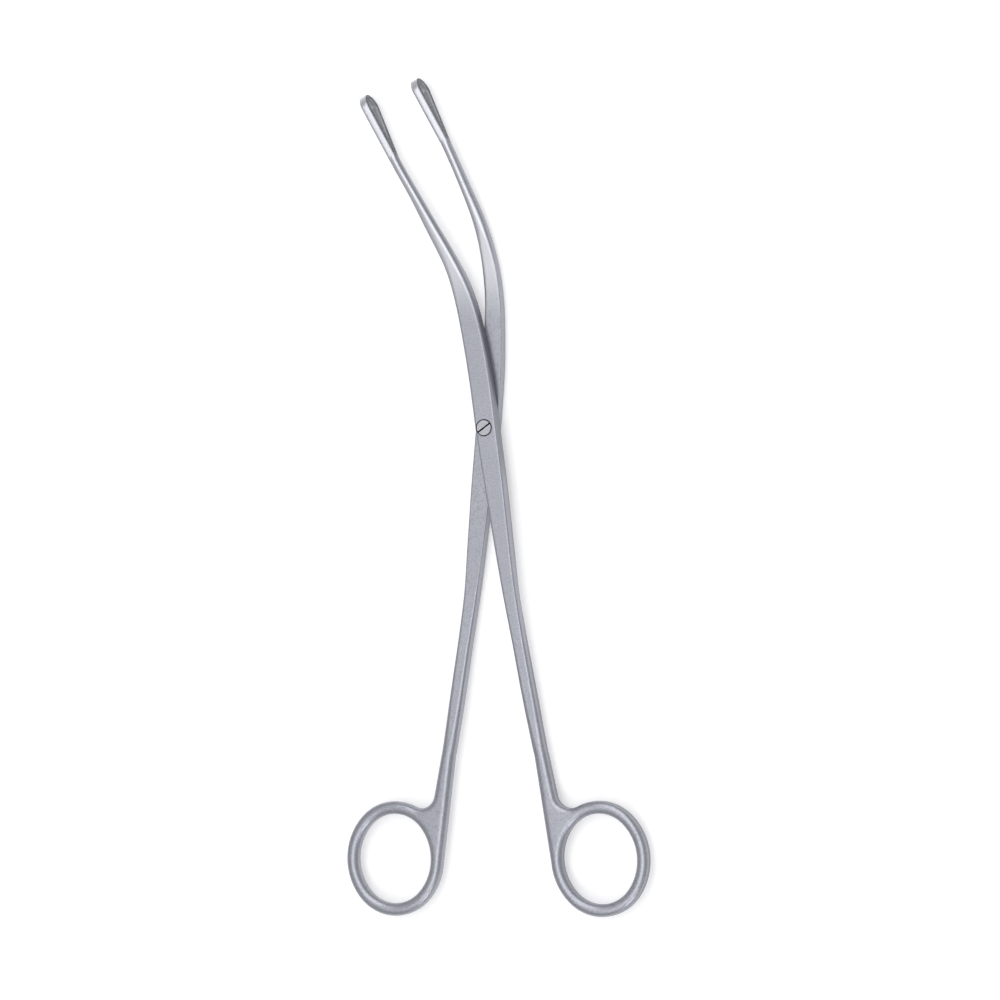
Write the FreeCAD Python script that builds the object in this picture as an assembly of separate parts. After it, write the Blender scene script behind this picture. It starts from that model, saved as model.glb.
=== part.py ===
"""Gallstone forceps: two crossing arms with fenestrated jaws and finger rings, held by one slotted screw.

Millimetres, +Z up. The instrument lies flat, jaws towards +Y and rings towards -Y.
The origin is on the screw's axis, in the flat back of the rear arm.
Both arms are drawn with the jaws closed and then turned about the screw to the resting pose.
A side of 1 means the front arm, which lies on top and has the ring on the right; -1 means the rear arm.
"""
import FreeCAD, Part
import math
import os
from FreeCAD import Vector

# Crossing of the arms
half_thickness = 3.35       # each arm, where they lie on one another
joint_gap = 0.05            # between the two ground flats
joint_width = 6.2           # each arm, across the screw
arm_offset = 0.5            # each arm's middle line from the screw's axis, towards its own ring
overcut = 0.7               # depth that is ground away to make each flat
edge_round = 0.45           # softened outer edges
crossing_top = 56.0         # ends of the stretch where one arm passes over the other
crossing_foot = 46.0

# Shanks
front_throat_width = 5.85   # front arm, at the upper end of the wide part
rear_throat_width = 5.0
shoulder_width = 3.5        # both arms, where the flat bar turns into a round rod
neck_diameter = 2.6         # round rod just below the jaw
waist_width = 3.65          # bar halfway to the ring
stem_width = 3.85           # bar where it comes down to the ring
grip_width = 3.5            # bar of the ring itself
grip_thickness = 3.6

# Jaws
jaw_reach = 95.4            # from the screw's axis to where the jaw tips meet, along Y
jaw_side = 27.3             # and to the left of it: both jaws bend to that side
jaw_lean = 25.6             # degrees from +Y, closed
jaw_flare = 4.0             # degrees that each jaw leans away, so that the tips meet first
jaw_stagger = 0.5           # the front jaw stands this much further out, the rear one as much less
jaw_thickness = 2.3
jaw_clearance = 0.02        # each jaw from the closing plane
loop_width = 7.8
loop_taper = 9.8            # degrees, each side of the loop
loop_rounding = 0.35        # outer edges of the loop
window_rounding = 0.3       # both edges of the window
rim_width = 1.5             # at the tip of the loop
window_foot_radius = 1.0
window_span = 8.8           # between the centres of the window's two round ends
neck_distance = 19.0        # from the jaw's tip down to the round neck

# Finger rings
ring_side = 22.34           # ring centre from the middle line, closed
ring_reach = 120.55         # ring centre from the screw's axis, along Y
ring_opening_width = 21.7
ring_opening_length = 24.8
ring_end_inset = 0.95       # the opening's ends have a radius this much under half its width
ring_rounding = 1.4
crotch_radius = 4.2         # hollow between the bar and the ring
stem_sweep = 28.0           # how far the bar's inner edge keeps its direction as it runs into the ring
stem_length = 28.55         # last stretch of the bar, drawn with the ring, down to the ring's centre along Y
stem_side = 7.79            # upper end of that stretch, from the middle line, closed
bar_lap = 1.0               # length of bar inside the ring's forging
bar_tuck = 0.04             # and how far it stays below that forging's faces

# Screw
head_diameter = 4.3
head_height = 1.1
head_clearance = 0.06       # all round the head, in its seat
shoulder_diameter = 3.0
shoulder_clearance = 0.03   # all round the shoulder, in the front arm
thread_diameter = 2.4
slot_width = 0.45
slot_depth = 0.55
slot_angle = 36.0           # degrees from +X

# Resting pose: how far each arm is turned from closed, in degrees
front_opening = 5.2
rear_opening = 2.6

flat = joint_gap / 2                # ground flat of an arm from the middle plane
face = flat + half_thickness        # outer face of an arm from the middle plane
middle = face                       # height of the middle plane above the rear arm's back
bar_half = grip_thickness / 2
bar_end = ring_reach - stem_length
ring_end_radius = ring_opening_width / 2 - ring_end_inset
neck_half = neck_diameter / 2
neck_round = neck_half * 0.9
loft_steps = 2                      # sections between one station and the next
corner_facets = 3                   # facets in a quarter turn of a rounded edge
UP = Vector(0, 0, 1)


def level(x, y):
    return Vector(x, y, middle)


def rightward(direction):
    return Vector(direction.y, -direction.x, 0)


def section(centre, direction, width, low, high, corner):
    """A rectangle across an arm, its corners rounded in facets.

    Low and high are heights from the middle plane."""
    side = rightward(direction)
    half = width / 2 - corner
    points = []
    for quarter, (x, z) in enumerate(((half, high - corner), (-half, high - corner), (-half, low + corner),
                                      (half, low + corner))):
        for step in range(corner_facets + 1):
            turn = math.pi / 2 * (quarter + step / corner_facets)
            points.append(centre + side * (x + corner * math.cos(turn)) + UP * (z + corner * math.sin(turn)))
    return Part.makePolygon(points + points[:1])


def rounded_slab(outline, thickness, rounding, spread):
    """A plate with rounded rims: outline(distance) is its wire, that far outside the plain one.

    A spread of -1 draws the rims in, as on a solid plate; 1 flares them, for the tool that cuts a window."""
    levels = []
    for step in range(corner_facets + 1):
        turn = math.pi / 2 * step / corner_facets
        levels.append((rounding * (1 - math.cos(turn)), spread * rounding * (1 - math.sin(turn))))
    levels += [(thickness - height, distance) for height, distance in reversed(levels)]
    wires = []
    for height, distance in levels:
        wire = outline(distance)
        wire.translate(UP * height)
        wires.append(wire)
    return Part.makeLoft(wires, True, True)


def tapered_slot(head_radius, foot_radius, span, round_foot):
    """Wire round two circles and their outer tangents: the head circle on the origin, the foot below it.

    The foot is either rounded or cut straight across."""
    turn = math.asin((head_radius - foot_radius) / span)
    head_right = Vector(head_radius * math.cos(turn), head_radius * math.sin(turn), 0)
    foot_right = Vector(foot_radius * math.cos(turn), foot_radius * math.sin(turn) - span, 0)
    head_left = Vector(-head_right.x, head_right.y, 0)
    foot_left = Vector(-foot_right.x, foot_right.y, 0)
    if round_foot:
        foot = Part.Arc(foot_left, Vector(0, -span - foot_radius, 0), foot_right)
    else:
        foot = Part.LineSegment(foot_left, foot_right)
    edges = [
        Part.Arc(head_right, Vector(0, head_radius, 0), head_left).toShape(),
        Part.LineSegment(head_left, foot_left).toShape(),
        foot.toShape(),
        Part.LineSegment(foot_right, head_right).toShape(),
    ]
    return Part.Wire(edges)


def jaw_axis(side):
    """Tip of a closed jaw's middle plane, and the direction in which the jaw points."""
    lean = math.radians(jaw_lean - side * jaw_flare)
    pointing = Vector(-math.sin(lean), math.cos(lean), 0)
    outward = rightward(pointing) * -side
    tip = level(-jaw_side, jaw_reach)
    tip += outward * (jaw_thickness / 2 + jaw_clearance) + pointing * (side * jaw_stagger)
    return tip, pointing


def jaw(side):
    """The fenestrated loop, standing on edge across the plane of the rings."""
    head_radius = loop_width / 2
    window_radius = head_radius - rim_width
    foot_radius = neck_half / 2
    span = (head_radius - foot_radius) / math.sin(math.radians(loop_taper))

    def rim(distance):
        return tapered_slot(head_radius + distance, foot_radius + distance, span, False)

    def window(distance):
        return tapered_slot(window_radius + distance, window_foot_radius + distance, window_span, True)

    plate = rounded_slab(rim, jaw_thickness, loop_rounding, -1)
    plate = plate.cut(rounded_slab(window, jaw_thickness, window_rounding, 1))
    plate.translate(Vector(0, -head_radius, -jaw_thickness / 2))
    tip, pointing = jaw_axis(side)
    left = rightward(pointing) * -1
    plate.Placement = FreeCAD.Placement(FreeCAD.Matrix(
        UP.x, pointing.x, left.x, tip.x,
        UP.y, pointing.y, left.y, tip.y,
        UP.z, pointing.z, left.z, tip.z)) * plate.Placement
    return plate


def stations(side):
    """Middle points and sections of one arm, from the ring's forging up into the jaw.

    Each is a point, a width, the near and far faces from the middle plane, and a corner radius.
    Above the screw the points are shares of jaw_side and of crossing_top."""
    tip, pointing = jaw_axis(side)
    neck = tip - pointing * neck_distance
    root = tip - pointing * (loop_width / 2 + window_span + window_foot_radius + rim_width)
    if side > 0:
        throat = front_throat_width
        leftward = (0.0073, 0.0546, 0.1176, 0.2223, 0.3934, 0.5941)
    else:
        throat = rear_throat_width
        leftward = (0.0037, -0.0033, 0.019, 0.0817, 0.2018, 0.3821)
    forward = (0.25, 0.482, 0.661, 0.8214, 1.0, 1.1964)
    upper = [level(-jaw_side * x, crossing_top * y) for x, y in zip(leftward, forward)]

    def below(outward, backward, length):
        """A point of the bar: shares of the stem's distance from the middle line and of a length along Y."""
        return level(side * stem_side * outward, -length * backward)

    return [
        (below(1, 1, bar_end), stem_width - 2 * bar_tuck, bar_tuck - bar_half, bar_half - bar_tuck,
         ring_rounding - bar_tuck),
        (below(0.755, 0.826, bar_end), stem_width, -0.9 * bar_half, 1.15 * bar_half, 2 * edge_round),
        (below(0.567, 0.652, bar_end), waist_width, -0.45 * bar_half, 0.78 * face, 1.4 * edge_round),
        (below(0.42, 1, crossing_foot), 0.637 * joint_width, flat, 0.97 * face, edge_round),
        (below(0.341, 0.804, crossing_foot), 0.71 * joint_width, flat - overcut / 2, face, edge_round),
        (below(0.268, 0.587, crossing_foot), 0.806 * joint_width, flat - overcut, face, edge_round),
        (below(0.173, 0.304, crossing_foot), 0.927 * joint_width, flat - overcut, face, edge_round),
        (level(side * arm_offset, 0), joint_width, flat - overcut, face, edge_round),
        (upper[0], joint_width, flat - overcut, face, edge_round),
        (upper[1], throat, flat - overcut, face, edge_round),
        (upper[2], 0.87 * throat, flat - overcut, face, 1.2 * edge_round),
        (upper[3], 1.14 * shoulder_width, flat - overcut / 2, 0.99 * face, 2 * edge_round),
        (upper[4], shoulder_width, flat, 0.9 * face, neck_round),
        (upper[5], 1.06 * neck_diameter, -0.75 * neck_half, 0.6 * face, neck_round),
        (neck, neck_diameter, -neck_half, neck_half, neck_round),
        (root, 0.8 * jaw_thickness, -0.9 * neck_half, 0.9 * neck_half, 0.3 * jaw_thickness),
    ]


def gentle_slopes(along, values):
    """Slopes for a curve through the values that never swings past them."""
    rises = [(b - a) / (t - s) for a, b, s, t in zip(values, values[1:], along, along[1:])]
    slopes = [rises[0]]
    for before, after in zip(rises, rises[1:]):
        slopes.append(2 * before * after / (before + after) if before * after > 0 else 0.0)
    return slopes + [rises[-1]]


def blended(along, values, steps):
    """The values at the stations, with evenly spaced ones added between them."""
    slopes = gentle_slopes(along, values)
    result = [values[0]]
    for place in range(len(values) - 1):
        gap = along[place + 1] - along[place]
        for step in range(1, steps + 1):
            t = step / steps
            rest = 1 - t
            result.append(values[place] * rest * rest * (1 + 2 * t) + values[place + 1] * t * t * (3 - 2 * t)
                          + gap * (slopes[place] * t * rest * rest - slopes[place + 1] * t * t * rest))
    return result


def shank(rows, side):
    """The forged bar, lofted through its stations; it returns the solid and the line's lower end."""
    line = Part.BSplineCurve()
    line.interpolate([row[0] for row in rows])
    along = [line.parameter(row[0]) for row in rows]
    places = blended(along, along, loft_steps)
    sizes = [blended(along, [row[column] for row in rows], loft_steps) for column in range(1, 5)]
    wires = []
    for place, width, near, far, corner in zip(places, *sizes):
        direction = Vector(*line.tangent(place)[0]).normalize()
        low, high = sorted((side * near, side * far))
        wires.append(section(line.value(place), direction, width, low, high, corner))
    foot = Vector(*line.tangent(along[0])[0]).normalize()
    return Part.makeLoft(wires, True, False), foot


def handle(side, foot):
    """The finger ring, with the end of the bar running into its inner side."""
    base = middle - bar_half
    centre = Vector(side * ring_side, -ring_reach, base)
    half_width = ring_opening_width / 2
    half_length = ring_opening_length / 2
    side_arc = (half_width ** 2 + half_length ** 2 - 2 * half_length * ring_end_radius) / (
        2 * (half_width - ring_end_radius))

    def oval(bar):
        """An oval this far outside the ring's opening: four arcs that run into one another."""
        end_radius = ring_end_radius + bar
        edges = []
        corners = []
        for turn in (45, 135, 225, 315):
            across = math.copysign(1, math.cos(math.radians(turn)))
            along = math.copysign(1, math.sin(math.radians(turn)))
            end_centre = Vector(0, along * (half_length - ring_end_radius), 0)
            side_centre = Vector(-across * (side_arc - half_width), 0, 0)
            corners.append(end_centre + (end_centre - side_centre).normalize() * end_radius)
        wide = half_width + bar
        long = half_length + bar
        for place, (x, y) in enumerate(((0, long), (-wide, 0), (0, -long), (wide, 0))):
            points = (corners[place], Vector(x, y, 0), corners[(place + 1) % 4])
            edges.append(Part.Arc(*[centre + point for point in points]).toShape())
        return Part.Wire(edges)

    start = Vector(side * stem_side, -bar_end, base) + foot * bar_lap
    out = rightward(foot) * side
    inner_start = start - out * (stem_width / 2)
    outer_start = start + out * (stem_width / 2)
    side_point = centre - Vector(side * (half_width + grip_width), 0, 0)
    inner_edge = Part.BSplineCurve()
    inner_edge.interpolate(Points=[inner_start, side_point],
                           Tangents=[foot * -stem_sweep, Vector(0, -stem_sweep, 0)])

    # The crotch's arc touches the bar's outer edge and the upper end of the ring.
    end_centre = centre + Vector(0, half_length - ring_end_radius, 0)
    end_radius = ring_end_radius + grip_width
    offset = outer_start + out * crotch_radius - end_centre
    climb = offset.dot(foot)
    drop = climb - math.sqrt(climb ** 2 - offset.dot(offset) + (end_radius + crotch_radius) ** 2)
    crotch_top = outer_start - foot * drop
    crotch_centre = crotch_top + out * crotch_radius
    to_ring = (crotch_centre - end_centre).normalize()
    crotch_foot = end_centre + to_ring * end_radius
    crotch_middle = crotch_centre - (out + to_ring).normalize() * crotch_radius
    in_bar = side_point + Vector(side * grip_width / 2, 0, 0)
    in_web = crotch_foot - to_ring * grip_width / 2
    edges = [
        inner_edge.toShape(),
        Part.LineSegment(side_point, in_bar).toShape(),
        Part.LineSegment(in_bar, in_web).toShape(),
        Part.LineSegment(in_web, crotch_foot).toShape(),
        Part.Arc(crotch_foot, crotch_middle, crotch_top).toShape(),
        Part.LineSegment(crotch_top, outer_start).toShape(),
        Part.LineSegment(outer_start, inner_start).toShape(),
    ]
    stem = Part.Face(Part.Wire(edges)).extrude(UP * grip_thickness)
    body = Part.Face(oval(grip_width)).extrude(UP * grip_thickness).fuse(stem).removeSplitter()
    rims = []
    for edge in body.Edges:
        box = edge.BoundBox
        if box.ZLength < 1e-6 and box.YMin < -bar_end - bar_lap:
            rims.append(edge)
    body = body.makeFillet(ring_rounding, rims)
    return body.cut(rounded_slab(oval, grip_thickness, ring_rounding, 1))


def screw_seat():
    """What is taken out of the front arm for the screw's head and shoulder."""
    head = Part.makeCylinder(head_diameter / 2 + head_clearance, 2 * head_height,
                             level(0, 0) + UP * (face - head_height))
    shoulder = Part.makeCylinder(shoulder_diameter / 2 + shoulder_clearance, 4 * face,
                                 level(0, 0) - UP * face)
    return head.fuse(shoulder)


def arm(side):
    """One arm: ring, bar, crossing and jaw, forged in one piece."""
    bar, foot = shank(stations(side), side)
    body = bar.fuse([handle(side, foot), jaw(side)])
    length = crossing_top + crossing_foot
    ground = Part.makeBox(length, length, 2 * face, level(-length / 2, -crossing_foot))
    ground.translate(UP * (flat - 2 * face if side > 0 else -flat))
    body = body.cut(ground)
    if side > 0:
        body = body.cut(screw_seat())
    else:
        body = body.cut(Part.makeCylinder(thread_diameter / 2, 2 * middle, Vector(0, 0, -middle / 2)))
    body.rotate(Vector(0, 0, 0), UP, front_opening if side > 0 else -rear_opening)
    return body


def pivot_screw():
    """Slotted screw: head in the front arm, shoulder through it, thread flush with the rear arm's back."""
    top = middle + face
    thread = Part.makeCylinder(thread_diameter / 2, middle)
    shoulder = Part.makeCylinder(shoulder_diameter / 2, face, level(0, 0) - UP * flat)
    head = Part.makeCylinder(head_diameter / 2, head_height, Vector(0, 0, top - head_height))
    slot = Part.makeBox(2 * head_diameter, slot_width, 2 * slot_depth,
                        Vector(-head_diameter, -slot_width / 2, top - slot_depth))
    slot.rotate(Vector(0, 0, 0), UP, slot_angle)
    return thread.fuse([shoulder, head]).removeSplitter().cut(slot)


parts = {"front_arm": arm(1), "rear_arm": arm(-1), "pivot_screw": pivot_screw()}

os.makedirs("parts", exist_ok=True)
for name, shape in parts.items():
    shape.exportStep(f"parts/{name}.step")
    box = shape.BoundBox
    print(f"{name}: solids {len(shape.Solids)}, valid {shape.isValid()}, volume {shape.Volume:.1f} mm3, "
          f"X {box.XMin:.1f} to {box.XMax:.1f}, Y {box.YMin:.1f} to {box.YMax:.1f}, "
          f"Z {box.ZMin:.2f} to {box.ZMax:.2f}")
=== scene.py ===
"""Gallstone forceps of satin stainless steel, lying flat on a pale table under soft studio light.

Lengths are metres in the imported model's frame: the screw's axis is the origin, jaws to +Y, rings to -Y.
"""

import math

import bpy
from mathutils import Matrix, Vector


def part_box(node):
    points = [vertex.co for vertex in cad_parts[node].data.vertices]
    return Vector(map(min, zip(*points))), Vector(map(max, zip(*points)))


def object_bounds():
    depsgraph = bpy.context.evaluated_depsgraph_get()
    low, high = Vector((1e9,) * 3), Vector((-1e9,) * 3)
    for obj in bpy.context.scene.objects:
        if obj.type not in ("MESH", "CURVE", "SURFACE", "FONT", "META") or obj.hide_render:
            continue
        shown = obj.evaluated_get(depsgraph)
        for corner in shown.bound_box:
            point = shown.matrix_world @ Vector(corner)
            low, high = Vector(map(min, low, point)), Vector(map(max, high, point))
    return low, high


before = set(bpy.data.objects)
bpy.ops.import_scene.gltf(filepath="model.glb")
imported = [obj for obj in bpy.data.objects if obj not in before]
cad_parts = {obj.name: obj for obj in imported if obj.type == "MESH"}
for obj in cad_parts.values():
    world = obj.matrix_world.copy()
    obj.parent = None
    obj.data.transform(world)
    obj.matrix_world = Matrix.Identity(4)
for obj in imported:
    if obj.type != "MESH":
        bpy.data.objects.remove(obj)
cad_box = [list(corner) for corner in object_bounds()]


# Arms. Each is one forging of martensitic stainless steel: ring, bar, crossing, rod and fenestrated jaw. It
# is ground to shape, blasted with glass beads and wiped along with a satin wheel, which reaches the flats,
# the rods and most of the sides. Their colour adds a painted highlight on the rods and jaws and painted
# shade on the sides, edges and jaws' faces. The screw alone holds the two together.

MM = 0.001
HEAD_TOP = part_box("pivot_screw")[1].z   # the joint's upper face; its lower face is at height 0
ARM_MIDDLE = HEAD_TOP / 2
JOINT_GAP = 0.05 * MM                   # between the two ground flats
LAP_HEIGHT = {"front_arm": ARM_MIDDLE + JOINT_GAP / 2, "rear_arm": 0}   # underside of each arm at the joint

CROWN_STEEL = "#abacb4"         # satin steel where the wheel ran
CROWN_SHADE = "#9c9ea7"         # the same, where hands have dulled it
PATCH_LENGTH = 16 * MM          # dulled patches
MOTTLE_SHADE = "#8f919a"        # clouds of denser blasting
MOTTLE_SIZE = 0.45 * MM
MOTTLE_SPREAD = (0.40, 0.80)    # noise, from plain steel to the middle of a cloud
RIDGE_HIGHLIGHT = "#c4c5cb"         # painted highlight on the rods' upward crowns and all over the jaws
RIDGE_TILT = (0.80, 0.97)       # upward part of the softened normal, from plain steel to the painted highlight
EDGE_TILT = (0.75, 0.20)        # the same, from plain steel to the painted shade on edges that turn away from the light
EDGE_SHADE = 0.20               # how strong that painted shade is
PAINTED_SHADE_STEEL = "#8e9097"          # painted shade on steep sides and on edges that turn away from the light
SIDE_TILT = (0.55, 0.05)        # upward part of the normal, from crown to side
SIDE_FOOT = (0.4 * MM, 1.1 * MM)        # above the underside, from the painted shade at the foot to the lighter upper part
SIDE_SHADE_LIFT = 0.95                # how far the painted shade and the roughness lift on that upper part
JOINT_MIDDLE = 8 * MM           # round here the front arm's side, standing over the rear arm, keeps its full painted shade and roughness
JOINT_REACH = (14 * MM, 26 * MM)
RING_END = (-90 * MM, -80 * MM)         # along Y, from the ring's stretch to the bar
ROD_START = (28 * MM, 46 * MM)          # from the flat crossing to the round rod
FLAT_WEAR = 0.5 * MM            # radius of worn edges: bars and crossing
ROUND_WEAR = 1.3 * MM           # rods and rings, whose facets it rounds
JAW_WEAR = 1.1 * MM

JAW_REACH = (78 * MM, 82 * MM)          # distance from the screw's axis, from rod to gripping loop
LOOP_MIDDLE = 95.4 * MM         # the same for the centre of the loop's round head
LOOP_LEAN = math.radians(27)    # the loops lean this far from +Y to the left, in the resting pose
LOOP_FACE = (math.cos(LOOP_LEAN), math.sin(LOOP_LEAN), 0)
LOOP_TILT = (0.35, 0.85)        # part of the normal along that direction, from rim to gripping face
WINDOW_FOOT = (85.2 * MM, 86.2 * MM)    # distance from the screw's axis, from the loop's steel to its window
WINDOW_TIP = (98.4 * MM, 97.9 * MM)
WINDOW_SIDE = (2.90 * MM, 2.45 * MM)    # the same for height from the arm's middle, at the loop's head
WINDOW_TAPER = 0.161            # how fast the window narrows towards the neck
WINDOW_SHADE = 0.35             # how much painted shade darkens its walls
JAW_SHADE = "#4b4e54"           # painted shade on the sideways gripping faces, over the pits of coarse grit
JAW_SHADED_CREST = "#95979d"           # and the crests between them, in the same painted shade
JAW_GRAIN = 0.30 * MM
JAW_SPREAD = (0.42, 0.64)       # noise, from pit to crest

SEAT_DARK = "#2b2c30"           # line round the screw's head and end; its inner edge, middle and outer edge:
SEAT_RING = {"front_arm": (2.10 * MM, 2.25 * MM, 2.50 * MM), "rear_arm": (1.10 * MM, 1.22 * MM, 1.42 * MM)}

WHEEL_MARK = (0.09 * MM, 5 * MM)        # width and length; real ones are 0.03 mm wide, drawn coarser to show
BEAD_GRAIN = 0.16 * MM          # pits left by the beads; real ones are 0.05 mm, drawn coarser to show
MARK_DEPTH = 0.006 * MM
BEAD_DEPTH = 0.012 * MM
JAW_DEPTH = 0.05 * MM
MARK_STRENGTH = 0.2
BEAD_STRENGTH = 0.3
SATIN_ROUGHNESS = (0.33, 0.52)  # wiped steel, blasted steel

SMOOTH = {"interpolation_type": "SMOOTHSTEP"}
TIMES = {"operation": "MULTIPLY"}
LARGER = {"operation": "MAXIMUM"}
POSITIVE = {"operation": "ABSOLUTE"}
TIMES_PLUS = {"operation": "MULTIPLY_ADD"}      # first times second, plus third
COLOURS = {"data_type": "RGBA"}     # such a mix takes its colours at 6 and 7 and gives one at 2


def linear(hex_colour):
    """sRGB hex to the linear colour that a socket takes."""
    channels = [int(hex_colour[place:place + 2], 16) / 255 for place in (1, 3, 5)]
    return [c / 12.92 if c <= 0.04045 else ((c + 0.055) / 1.055) ** 2.4 for c in channels] + [1.0]


def add_node(tree, kind, settings=(), links=()):
    """Adds a node. Settings are attributes or input values; links come from sockets or first outputs."""
    node = tree.nodes.new("ShaderNode" + kind)
    for key, value in dict(settings).items():
        if isinstance(key, int) or key in node.inputs:
            node.inputs[key].default_value = value
        else:
            setattr(node, key, value)
    for key, source in dict(links).items():
        if isinstance(source, bpy.types.Node):
            source = source.outputs[0]
        tree.links.new(source, node.inputs[key])
    return node


def new_material(name):
    material = bpy.data.materials.new(name)
    material.use_nodes = True
    material.node_tree.nodes.clear()
    return material, material.node_tree


def satin_steel(arm):
    """Satin stainless, bead-blasted and wheel-wiped.

    To the eye it is a pale even grey. A painted highlight gives the rods and the jaws' rims a broad soft
    gleam.
    Painted shade darkens the sides, most at their foot and on the front arm's side at the joint, the edges
    that turn away from the light and, over coarse grit, the jaws' sideways faces and their windows' walls.
    The sides and the jaws' faces are also rougher.
    """
    material, tree = new_material(arm + "_satin_stainless_steel")
    place = add_node(tree, "TexCoord")
    point = place.outputs["Object"]
    patches, mottle, grit, beads = (
        add_node(tree, "TexNoise", {"Scale": 1 / size, "Detail": detail}, {"Vector": point})
        for size, detail in ((PATCH_LENGTH, 3), (MOTTLE_SIZE, 1), (JAW_GRAIN, 2), (BEAD_GRAIN, 2)))

    spot = add_node(tree, "SeparateXYZ", {}, {0: point})
    along, height = spot.outputs["Y"], spot.outputs["Z"]
    facing = add_node(tree, "SeparateXYZ", {}, {0: place.outputs["Normal"]})
    upward = add_node(tree, "Math", POSITIVE, {0: facing.outputs["Z"]})
    across = add_node(tree, "VectorMath", {"operation": "DOT_PRODUCT", 1: LOOP_FACE},
                      {0: place.outputs["Normal"]})
    across = add_node(tree, "Math", POSITIVE, {0: across.outputs["Value"]})
    flat_spot = add_node(tree, "CombineXYZ", {}, {0: spot.outputs["X"], 1: along})
    reach = add_node(tree, "VectorMath", {"operation": "LENGTH"}, {0: flat_spot}).outputs["Value"]
    from_joint = add_node(tree, "Math", {"operation": "SUBTRACT", 1: JOINT_MIDDLE}, {0: along})
    from_joint = add_node(tree, "Math", POSITIVE, {0: from_joint})
    from_middle = add_node(tree, "Math", {"operation": "SUBTRACT", 1: ARM_MIDDLE}, {0: height})
    from_middle = add_node(tree, "Math", POSITIVE, {0: from_middle})
    past_head = add_node(tree, "Math", {"operation": "SUBTRACT", 1: LOOP_MIDDLE}, {0: reach})
    tapered = add_node(tree, "Math", TIMES_PLUS | {1: -WINDOW_TAPER}, {0: past_head, 2: from_middle})

    lap = LAP_HEIGHT[arm]
    seat_inner, seat_middle, seat_outer = SEAT_RING[arm]
    masks = {}
    for mask, value, (none, full) in (
            ("steep", upward, SIDE_TILT),
            ("above_foot", height, [lap + level for level in SIDE_FOOT]),
            ("off_joint", from_joint, JOINT_REACH),
            ("off_ring", along, RING_END),
            ("rod", along, ROD_START),
            ("off_rod", along, ROD_START[::-1]),
            ("loop", reach, JAW_REACH),
            ("loop_face", across, LOOP_TILT),
            ("window_foot", reach, WINDOW_FOOT),
            ("window_tip", reach, WINDOW_TIP),
            ("window_side", tapered, WINDOW_SIDE),
            ("seat_inside", reach, (seat_inner, seat_middle)),
            ("seat_outside", reach, (seat_outer, seat_middle)),
            ("cloud", mottle, MOTTLE_SPREAD),
            ("crest", grit, JAW_SPREAD)):
        span = SMOOTH | {"From Min": none, "From Max": full}
        masks[mask] = add_node(tree, "MapRange", span, {"Value": value})

    # Painted shade on the steep sides, strongest at their foot and kept on the front arm's side at the joint;
    # the same mask makes these parts rougher.
    above_foot = masks["above_foot"]
    if arm == "front_arm":
        above_foot = add_node(tree, "Math", TIMES, {0: above_foot, 1: masks["off_joint"]})
    shaded_blasted = add_node(tree, "Math", TIMES_PLUS | {1: -SIDE_SHADE_LIFT, 2: 1}, {0: above_foot})
    shaded_blasted_side = add_node(tree, "Math", TIMES, {0: masks["steep"], 1: shaded_blasted})
    shaded_blasted_side = add_node(tree, "Math", TIMES, {0: shaded_blasted_side, 1: masks["off_rod"]})

    jaw_end = add_node(tree, "Math", {"operation": "GREATER_THAN", 1: 0}, {0: along})
    in_jaw = add_node(tree, "Math", TIMES, {0: masks["loop"], 1: jaw_end})
    # Painted shade on the window's walls and, over the grit, on the jaws' sideways faces.
    window = add_node(tree, "Math", TIMES | {1: WINDOW_SHADE}, {0: in_jaw})
    for mask in ("window_foot", "window_tip", "window_side"):
        window = add_node(tree, "Math", TIMES, {0: window, 1: masks[mask]})
    jaw_face = add_node(tree, "Math", TIMES, {0: masks["loop_face"], 1: in_jaw})
    jaw_face = add_node(tree, "Math", LARGER, {0: jaw_face, 1: window})

    flat = add_node(tree, "Math", TIMES, {0: masks["off_ring"], 1: masks["off_rod"]})
    wear = add_node(tree, "Math", TIMES_PLUS | {1: FLAT_WEAR - ROUND_WEAR, 2: ROUND_WEAR}, {0: flat})
    wear = add_node(tree, "Math", TIMES_PLUS | {1: JAW_WEAR - ROUND_WEAR}, {0: in_jaw, 2: wear})
    softened = add_node(tree, "Bevel", {"samples": 8}, {"Radius": wear})
    soft_facing = add_node(tree, "SeparateXYZ", {}, {0: softened})
    soft_up = add_node(tree, "Math", POSITIVE, {0: soft_facing.outputs["Z"]})
    # Painted highlight where the softened normal faces up on the rods, and all over the jaws.
    painted_highlight, edge = (
        add_node(tree, "MapRange", SMOOTH | {"From Min": none, "From Max": full}, {"Value": soft_up})
        for none, full in (RIDGE_TILT, EDGE_TILT))
    painted_highlight = add_node(tree, "Math", LARGER, {0: painted_highlight, 1: in_jaw})
    painted_highlight = add_node(tree, "Math", TIMES, {0: painted_highlight, 1: masks["rod"]})
    # Painted shade on edges that turn away from the light, left off the jaws.
    edge_shade = add_node(tree, "Math", TIMES_PLUS | {1: -EDGE_SHADE, 2: EDGE_SHADE}, {0: in_jaw})
    edge = add_node(tree, "Math", TIMES, {0: edge, 1: edge_shade})
    # Painted shade of the sides and the edges together.
    painted_shade = add_node(tree, "Math", LARGER, {0: shaded_blasted_side, 1: edge})
    seat = add_node(tree, "Math", TIMES, {0: masks["seat_inside"], 1: masks["seat_outside"]})

    colour = add_node(tree, "Mix", COLOURS | {6: linear(CROWN_STEEL), 7: linear(CROWN_SHADE)}, {0: patches})
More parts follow.
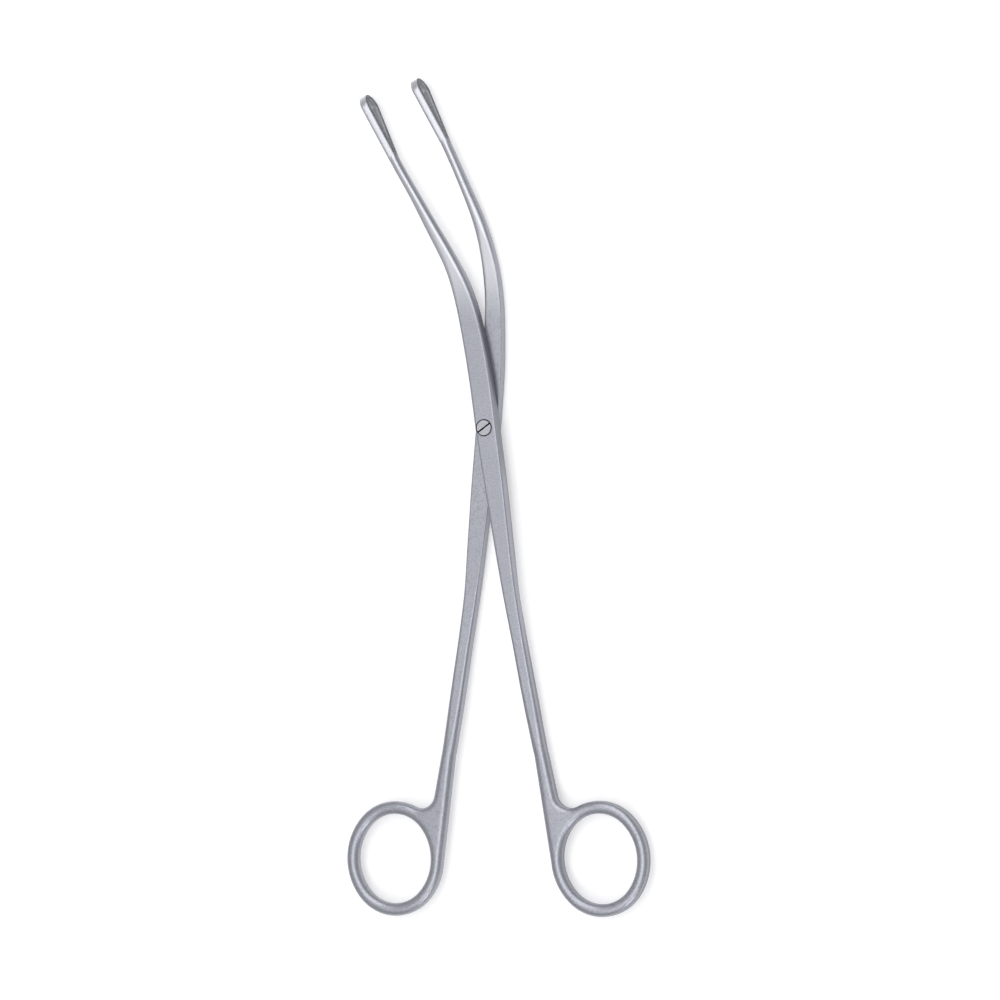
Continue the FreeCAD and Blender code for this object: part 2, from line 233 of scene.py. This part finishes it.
    # Coats in turn: random mottling, the painted highlight, the painted shade.
    for amount, coat in ((masks["cloud"], MOTTLE_SHADE), (painted_highlight, RIDGE_HIGHLIGHT), (painted_shade, PAINTED_SHADE_STEEL)):
        colour = add_node(tree, "Mix", COLOURS | {7: linear(coat)}, {0: amount, 6: colour.outputs[2]})
    grip = add_node(tree, "Mix", COLOURS | {6: linear(JAW_SHADE), 7: linear(JAW_SHADED_CREST)}, {0: masks["crest"]})
    colour = add_node(tree, "Mix", COLOURS, {0: jaw_face, 6: colour.outputs[2], 7: grip.outputs[2]})
    colour = add_node(tree, "Mix", COLOURS | {7: linear(SEAT_DARK)}, {0: seat, 6: colour.outputs[2]})

    stretch = {"Scale": (1 / WHEEL_MARK[0], 1 / WHEEL_MARK[1], 1 / WHEEL_MARK[0])}
    stretched = add_node(tree, "Mapping", stretch, {"Vector": point})
    marks = add_node(tree, "TexNoise", {"Scale": 1, "Detail": 2}, {"Vector": stretched})
    marked = add_node(tree, "Bump", {"Strength": MARK_STRENGTH, "Distance": MARK_DEPTH},
                      {"Height": marks, "Normal": softened})
    pitted = add_node(tree, "Bump", {"Strength": BEAD_STRENGTH, "Distance": BEAD_DEPTH},
                      {"Height": beads, "Normal": marked})
    gripping = add_node(tree, "Bump", {"Distance": JAW_DEPTH},
                        {"Strength": jaw_face, "Height": grit, "Normal": pitted})
    coarse = add_node(tree, "Math", LARGER, {0: shaded_blasted_side, 1: jaw_face})
    roughness = add_node(tree, "MapRange", {"To Min": SATIN_ROUGHNESS[0], "To Max": SATIN_ROUGHNESS[1]},
                         {"Value": coarse})
    shader = add_node(tree, "BsdfPrincipled", {"Metallic": 1},
                      {"Base Color": colour.outputs[2], "Roughness": roughness, "Normal": gripping})
    add_node(tree, "OutputMaterial", {}, {"Surface": shader})
    return material


for name in ("front_arm", "rear_arm"):
    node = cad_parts[name]
    node.data.materials.clear()
    node.data.materials.append(satin_steel(name))


# Pivot screw. It is turned from stainless bar, faced off on the lathe and slotted with a thin saw. Its head
# lies flush in the front arm, which turns on its shoulder, and its thread ends flush in the rear arm's back.

SCREW_STEEL = "#bbbcc2"
SCREW_SHADE = "#a2a4aa"
WEAR_PATCH = 1.2 * MM
RIM_WIDTH = (1.98 * MM, 2.12 * MM)  # the head darkens from here to its rim
SLOT_SHADE = "#17171a"           # painted shade deep in the slot
SLOT_START = 0.036 * MM         # depth below the head's face where the dark begins
SLOT_DEEP = 0.12 * MM           # and where it is full
LATHE_PITCH = 0.16 * MM         # real rings are 0.05 mm apart, drawn coarser to show
LATHE_DEPTH = 0.004 * MM
LATHE_STRENGTH = 0.25
SCREW_WEAR = 0.12 * MM          # radius of worn edges
SCREW_ROUGHNESS = (0.26, 0.6)   # turned face, slot


def turned_steel():
    """Turned stainless: to the eye brighter and glossier than the arms, with faint rings and a slot in
    painted shade.
    """
    material, tree = new_material("turned_stainless_steel")
    point = add_node(tree, "TexCoord").outputs["Object"]
    spot = add_node(tree, "SeparateXYZ", {}, {0: point})
    flat_spot = add_node(tree, "CombineXYZ", {}, {0: spot.outputs["X"], 1: spot.outputs["Y"]})
    reach = add_node(tree, "VectorMath", {"operation": "LENGTH"}, {0: flat_spot}).outputs["Value"]
    turn = add_node(tree, "Math", TIMES | {1: 2 * math.pi / LATHE_PITCH}, {0: reach})
    rings = add_node(tree, "Math", {"operation": "SINE"}, {0: turn})
    worn = add_node(tree, "TexNoise", {"Scale": 1 / WEAR_PATCH, "Detail": 2}, {"Vector": point})
    below_top, above_end, rim = (
        add_node(tree, "MapRange", SMOOTH | {"From Min": none, "From Max": full}, {"Value": value})
        for value, none, full in ((spot.outputs["Z"], HEAD_TOP - SLOT_START, HEAD_TOP - SLOT_DEEP),
                                  (spot.outputs["Z"], 0, SLOT_DEEP),
                                  (reach, *RIM_WIDTH)))
    deep = add_node(tree, "Math", TIMES, {0: below_top, 1: above_end})
    colour = add_node(tree, "Mix", COLOURS | {6: linear(SCREW_STEEL), 7: linear(SCREW_SHADE)}, {0: worn})
    # A dark line at the head's rim, then painted shade in the slot.
    for amount, coat in ((rim, SEAT_DARK), (deep, SLOT_SHADE)):
        colour = add_node(tree, "Mix", COLOURS | {7: linear(coat)}, {0: amount, 6: colour.outputs[2]})
    softened = add_node(tree, "Bevel", {"samples": 6, "Radius": SCREW_WEAR})
    bump = add_node(tree, "Bump", {"Strength": LATHE_STRENGTH, "Distance": LATHE_DEPTH},
                    {"Height": rings, "Normal": softened})
    roughness = add_node(tree, "MapRange", {"To Min": SCREW_ROUGHNESS[0], "To Max": SCREW_ROUGHNESS[1]},
                         {"Value": deep})
    shader = add_node(tree, "BsdfPrincipled", {"Metallic": 1},
                      {"Base Color": colour.outputs[2], "Roughness": roughness, "Normal": bump})
    add_node(tree, "OutputMaterial", {}, {"Surface": shader})
    return material


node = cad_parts["pivot_screw"]
node.data.materials.clear()
node.data.materials.append(turned_steel())


# Table, light and camera. The table is a matt white sheet in a white tent. A long softbox over the
# instrument makes the rods' crowns gleam, and the flats catch only its edge and stay grey. A small low one on
# the ring side puts the gleam on the rings' lower right.

TABLE_WHITE = "#f4f4f5"
TABLE_SIZE = 6.0
TABLE_GAP = 0.05 * MM           # below the lowest loop
TENT_LEVEL = 0.64               # the tent's walls
TABLE_GLOW = 0.30               # shows the sheet white to the camera and in the steel's reflections
SOFTBOXES = {"overhead_softbox": {"spot": (-0.10, 0.2, 1.2), "width": 0.64, "length": 2.0, "power": 6.5},
             "low_softbox": {"spot": (0.45, -1.06, 0.96), "width": 0.4, "length": 0.4, "power": 2.5}}
CAMERA_TILT = math.radians(22)  # towards the front arm's ring
CAMERA_DISTANCE = 1.5
VIEW_CENTRE = Vector((3.485, -19.887, 3.375)) * MM      # the middle of the photograph, halfway up the joint
FOCAL_LENGTH = 196.0            # on a 36 mm sensor, in millimetres

lowest = min(corner[2] for corner in cad_box)
bpy.ops.mesh.primitive_plane_add(size=TABLE_SIZE, location=(0, 0, lowest - TABLE_GAP))
table = bpy.context.object
table.name = "table"
white, tree = new_material("matt_white_sheet")
cloth = add_node(tree, "BsdfDiffuse", {"Color": linear(TABLE_WHITE)})
rays = add_node(tree, "LightPath")
seen = add_node(tree, "Math", LARGER, {0: rays.outputs["Is Camera Ray"], 1: rays.outputs["Is Glossy Ray"]})
level = add_node(tree, "Math", TIMES | {1: TABLE_GLOW}, {0: seen})
glow = add_node(tree, "Emission", {}, {"Strength": level})
sheet = add_node(tree, "AddShader", {}, {0: cloth, 1: glow})
add_node(tree, "OutputMaterial", {}, {"Surface": sheet})
table.data.materials.append(white)

world = bpy.data.worlds.new("studio")
world.use_nodes = True
world.node_tree.nodes.clear()
sky = add_node(world.node_tree, "Background", {"Color": (1, 1, 1, 1), "Strength": TENT_LEVEL})
add_node(world.node_tree, "OutputWorld", {}, {"Surface": sky})
bpy.context.scene.world = world

for name, sizes in SOFTBOXES.items():
    softbox = bpy.data.lights.new(name, "AREA")
    softbox.shape = "RECTANGLE"
    softbox.size = sizes["width"]
    softbox.size_y = sizes["length"]
    softbox.energy = sizes["power"]
    holder = bpy.data.objects.new(name, softbox)
    holder.location = sizes["spot"]
    # It faces the screw and keeps its length along the instrument.
    x, y, z = holder.location
    holder.rotation_euler = (-math.asin(y / holder.location.length), math.atan2(x, z), 0)
    bpy.context.scene.collection.objects.link(holder)

camera = bpy.data.cameras.new("camera")
camera.lens = FOCAL_LENGTH
view = bpy.data.objects.new("camera", camera)
view.location = VIEW_CENTRE + CAMERA_DISTANCE * Vector((math.sin(CAMERA_TILT), 0, math.cos(CAMERA_TILT)))
view.rotation_euler = (0, CAMERA_TILT, 0)
bpy.context.scene.collection.objects.link(view)
bpy.context.scene.camera = view
bpy.context.scene.view_settings.view_transform = "Standard"
